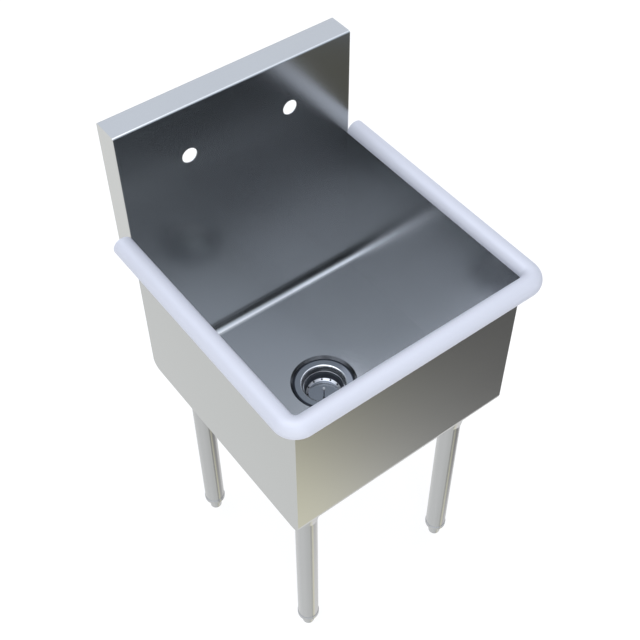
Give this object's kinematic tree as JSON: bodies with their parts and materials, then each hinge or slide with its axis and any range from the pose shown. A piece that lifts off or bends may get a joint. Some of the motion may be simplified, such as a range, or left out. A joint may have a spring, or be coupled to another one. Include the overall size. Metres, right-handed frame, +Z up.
{
  "type": "utility laundry sink",
  "caption": "Free-standing stainless steel utility sink: square bowl with rolled rim, high splash back with faucet holes, tube legs with screw feet, basket strainer drain.",
  "frame": {"origin": "on the floor, under the middle of the whole sink", "axes": "+X to the right seen from the front, +Y to the back, where the splash back is, +Z up"},
  "size_m": [0.5292, 0.544, 1.043],
  "materials": {
    "bowl_steel": "satin stainless steel sheet",
    "rim_steel": "satin stainless steel, finely polished",
    "leg_steel": "satin stainless steel tube",
    "drain_steel": "satin stainless steel, pressed and turned",
    "cast_metal": "dull cast metal",
    "polished_metal": "polished plated tube and nut",
    "rubber": "matt black rubber",
    "fibre": "pressed brown fibre"
  },
  "bodies": {
    "sink_body": {"bowl_wrapper": "bowl_steel", "side_panel_left": "bowl_steel", "rim_corner_left": "rim_steel", "rim_plug_left": "rim_steel", "splash_cap_left": "bowl_steel", "side_panel_right": "bowl_steel", "rim_corner_right": "rim_steel", "rim_plug_right": "rim_steel", "splash_cap_right": "bowl_steel", "leg_set_screws": "drain_steel", "leg_socket_front_left": "leg_steel", "leg_front_left": "leg_steel", "foot_insert_front_left": "leg_steel", "leg_socket_front_right": "leg_steel", "leg_front_right": "leg_steel", "foot_insert_front_right": "leg_steel", "leg_socket_rear_left": "leg_steel", "leg_rear_left": "leg_steel", "foot_insert_rear_left": "leg_steel", "leg_socket_rear_right": "leg_steel", "leg_rear_right": "leg_steel", "foot_insert_rear_right": "leg_steel", "strainer_body": "drain_steel", "drain_gasket": "rubber", "friction_washer": "fibre", "locknut": "cast_metal", "coupling_nut": "polished_metal", "tailpiece_washer": "rubber", "tailpiece": "polished_metal"},
    "basket": {"strainer_basket": "drain_steel", "basket_post": "drain_steel", "basket_stopper": "rubber"},
    "screw_foot_front_left": {"foot_front_left": "leg_steel"},
    "screw_foot_front_right": {"foot_front_right": "leg_steel"},
    "screw_foot_rear_left": {"foot_rear_left": "leg_steel"},
    "screw_foot_rear_right": {"foot_rear_right": "leg_steel"}
  },
  "joints": [
    {"name": "basket_lift", "type": "slide", "parent": "sink_body", "child": "basket", "axis": [0, 0, 1], "range_m": [0, 0.42]},
    {"name": "foot_front_left_screw", "type": "slide", "parent": "sink_body", "child": "screw_foot_front_left", "axis": [0, 0, -1], "range_m": [-0.01, 0.025]},
    {"name": "foot_front_right_screw", "type": "slide", "parent": "sink_body", "child": "screw_foot_front_right", "axis": [0, 0, -1], "range_m": [-0.01, 0.025]},
    {"name": "foot_rear_left_screw", "type": "slide", "parent": "sink_body", "child": "screw_foot_rear_left", "axis": [0, 0, -1], "range_m": [-0.01, 0.025]},
    {"name": "foot_rear_right_screw", "type": "slide", "parent": "sink_body", "child": "screw_foot_rear_right", "axis": [0, 0, -1], "range_m": [-0.01, 0.025]}
  ]
}
